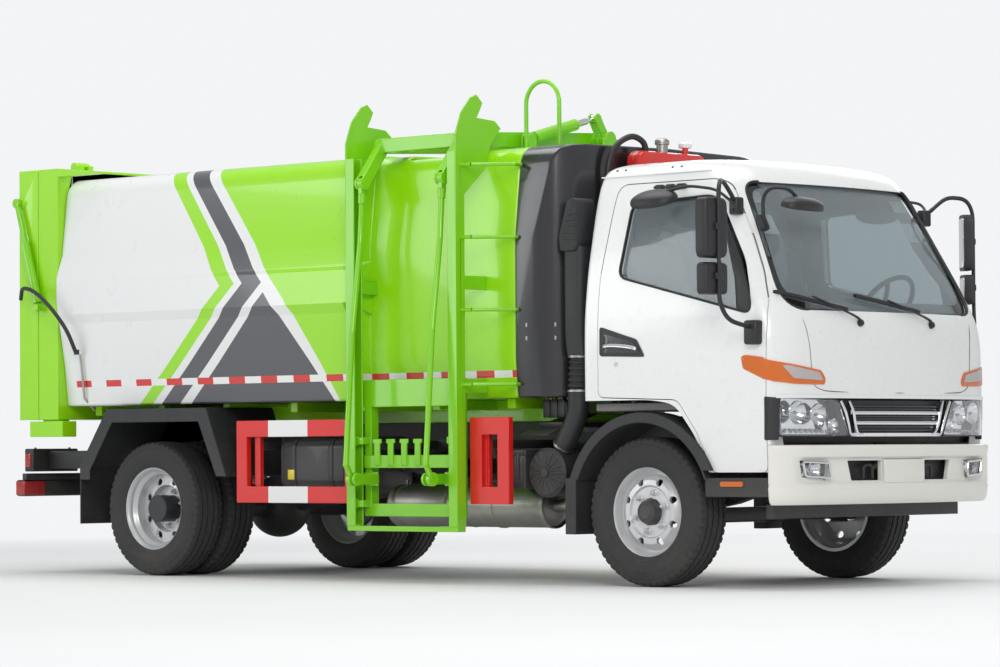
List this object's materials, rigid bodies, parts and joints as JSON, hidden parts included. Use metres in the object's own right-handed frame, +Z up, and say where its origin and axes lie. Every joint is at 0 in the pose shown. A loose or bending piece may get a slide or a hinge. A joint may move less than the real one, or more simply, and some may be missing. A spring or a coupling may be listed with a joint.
{
  "type": "garbage truck",
  "caption": "Light side-loading garbage truck with a lime green compaction body, a bin lift on rails at its side, a top-hinged tailgate and a white forward-control cab.",
  "frame": {"origin": "on the ground, midway between the front and rear bumpers and in the middle across the truck", "axes": "+X forward, +Y to the left, +Z up"},
  "size_m": [6.35, 2.6677, 2.9429],
  "materials": {
    "chassis_black": "satin",
    "body_green": "gloss",
    "engine_grey": "rough",
    "cab_white": "gloss",
    "glass": "clear",
    "interior_grey": "matte",
    "interior_dark": "matte",
    "grille_silver": "satin",
    "lamp_clear": "clear",
    "bumper_white": "satin",
    "trim_black": "satin",
    "guard_black": "matte",
    "hydraulic_red": "gloss",
    "tank_dark": "satin",
    "guard_red": "gloss",
    "head_black": "gloss",
    "lift_green": "gloss",
    "tyre": "matte",
    "rim_silver": "satin",
    "cylinder_steel": "satin",
    "rod_chrome": "polished"
  },
  "bodies": {
    "truck": {"chassis_frame": "chassis_black", "body_frame": "body_green", "rear_ring": "body_green", "engine": "engine_grey", "front_axle": "chassis_black", "rear_axle": "chassis_black", "cab_shell": "cab_white", "cab_glass": "glass", "cab_interior": "interior_grey", "grille": "grille_silver", "lamps": "lamp_clear", "bumpers": "bumper_white", "windscreen_fittings": "trim_black", "mudguards": "guard_black", "air_intake": "guard_black", "hydraulics": "hydraulic_red", "side_tanks": "tank_dark", "side_guards": "guard_red", "tank_shell": "body_green", "front_head": "head_black", "lift_rails": "lift_green", "roof_brackets": "lift_green"},
    "knuckle_right": {"knuckle_right": "chassis_black"},
    "knuckle_left": {"knuckle_left": "chassis_black"},
    "wheel_front_right": {"tyre_front_right": "tyre", "rim_front_right": "rim_silver"},
    "wheel_front_left": {"tyre_front_left": "tyre", "rim_front_left": "rim_silver"},
    "wheels_rear_right": {"tyres_rear_right": "tyre", "rims_rear_right": "rim_silver"},
    "wheels_rear_left": {"tyres_rear_left": "tyre", "rims_rear_left": "rim_silver"},
    "steering_wheel": {"steering_wheel": "interior_dark"},
    "door_right": {"door_right": "cab_white", "glass_right": "glass", "mirror_right": "trim_black"},
    "door_left": {"door_left": "cab_white", "glass_left": "glass", "mirror_left": "trim_black"},
    "tailgate": {"tailgate": "body_green"},
    "tailgate_barrels": {"tailgate_barrels": "cylinder_steel"},
    "tailgate_rods": {"tailgate_rods": "rod_chrome"},
    "swing_arm": {"swing_arm": "lift_green"},
    "pull_rods": {"pull_rods": "lift_green"},
    "carriage": {"carriage": "lift_green"},
    "lift_barrel": {"lift_barrel": "lift_green"},
    "lift_rod": {"lift_rod": "rod_chrome"}
  },
  "joints": [
    {"name": "right knuckle steer", "type": "hinge", "parent": "truck", "child": "knuckle_right", "pos_m": [2.075, -0.7745, 0.419], "axis": [0, 0, 1], "range_deg": [-35, 35]},
    {"name": "left knuckle steer", "type": "hinge", "parent": "truck", "child": "knuckle_left", "pos_m": [2.075, 0.7745, 0.419], "axis": [0, 0, 1], "range_deg": [-35, 35]},
    {"name": "front right wheel spin", "type": "hinge", "parent": "knuckle_right", "child": "wheel_front_right", "pos_m": [2.075, -0.8525, 0.419], "axis": [0, 1, 0], "continuous": true},
    {"name": "front left wheel spin", "type": "hinge", "parent": "knuckle_left", "child": "wheel_front_left", "pos_m": [2.075, 0.8525, 0.419], "axis": [0, 1, 0], "continuous": true},
    {"name": "rear right wheels spin", "type": "hinge", "parent": "truck", "child": "wheels_rear_right", "pos_m": [-1.855, -0.9975, 0.419], "axis": [0, 1, 0], "continuous": true},
    {"name": "rear left wheels spin", "type": "hinge", "parent": "truck", "child": "wheels_rear_left", "pos_m": [-1.855, 0.9975, 0.419], "axis": [0, 1, 0], "continuous": true},
    {"name": "steering wheel turn", "type": "hinge", "parent": "truck", "child": "steering_wheel", "pos_m": [2.635, 0.52, 1.5755], "axis": [-0.809, 0, 0.5878], "range_deg": [-630, 630]},
    {"name": "right door swing", "type": "hinge", "parent": "truck", "child": "door_right", "pos_m": [2.955, -0.986, 1.03], "axis": [0, 0, 1], "range_deg": [0, 65]},
    {"name": "left door swing", "type": "hinge", "parent": "truck", "child": "door_left", "pos_m": [2.955, 0.986, 1.03], "axis": [0, 0, -1], "range_deg": [0, 65]},
    {"name": "tailgate lift", "type": "hinge", "parent": "truck", "child": "tailgate", "pos_m": [-2.925, 0, 2.635], "axis": [0, 1, 0], "range_deg": [0, 80]},
    {"name": "tailgate cylinder pivot", "type": "hinge", "parent": "truck", "child": "tailgate_barrels", "pos_m": [-2.885, 0, 1.71], "axis": [0, 1, 0], "range_deg": [-1, 1.67]},
    {"name": "tailgate cylinder stroke", "type": "slide", "parent": "tailgate_barrels", "child": "tailgate_rods", "axis": [-0.2951, 0, 0.9555], "range_m": [0, 0.38705]},
    {"name": "swing arm lift", "type": "hinge", "parent": "truck", "child": "swing_arm", "pos_m": [0.425, 0.12, 2.64], "axis": [-1, 0, 0], "range_deg": [0, 60]},
    {"name": "pull rods swing", "type": "hinge", "parent": "swing_arm", "child": "pull_rods", "pos_m": [0.425, -1.2, 2.35], "axis": [1, 0, 0], "range_deg": [0, 46.82]},
    {"name": "carriage travel", "type": "slide", "parent": "truck", "child": "carriage", "axis": [0, 0, 1], "range_m": [0, 1.36781]},
    {"name": "lift cylinder pivot", "type": "hinge", "parent": "truck", "child": "lift_barrel", "pos_m": [0.842, -0.55, 2.605], "axis": [1, 0, 0], "range_deg": [-3.1, 1]},
    {"name": "lift cylinder stroke", "type": "slide", "parent": "lift_barrel", "child": "lift_rod", "axis": [0, 0.9672, 0.2541], "range_m": [0, 0.14349]}
  ],
  "couplings": [
    {"joint": "left knuckle steer", "follows": "right knuckle steer", "ratio": 1},
    {"joint": "steering wheel turn", "follows": "right knuckle steer", "ratio": 18},
    {"joint": "tailgate cylinder pivot", "follows": "tailgate lift", "ratio": 0.008392},
    {"joint": "tailgate cylinder stroke", "follows": "tailgate lift", "m_per_rad": 0.27446},
    {"joint": "pull rods swing", "follows": "swing arm lift", "ratio": 0.77257},
    {"joint": "carriage travel", "follows": "swing arm lift", "m_per_rad": 1.2997},
    {"joint": "lift cylinder pivot", "follows": "swing arm lift", "ratio": -0.035042},
    {"joint": "lift cylinder stroke", "follows": "swing arm lift", "m_per_rad": 0.13566}
  ]
}
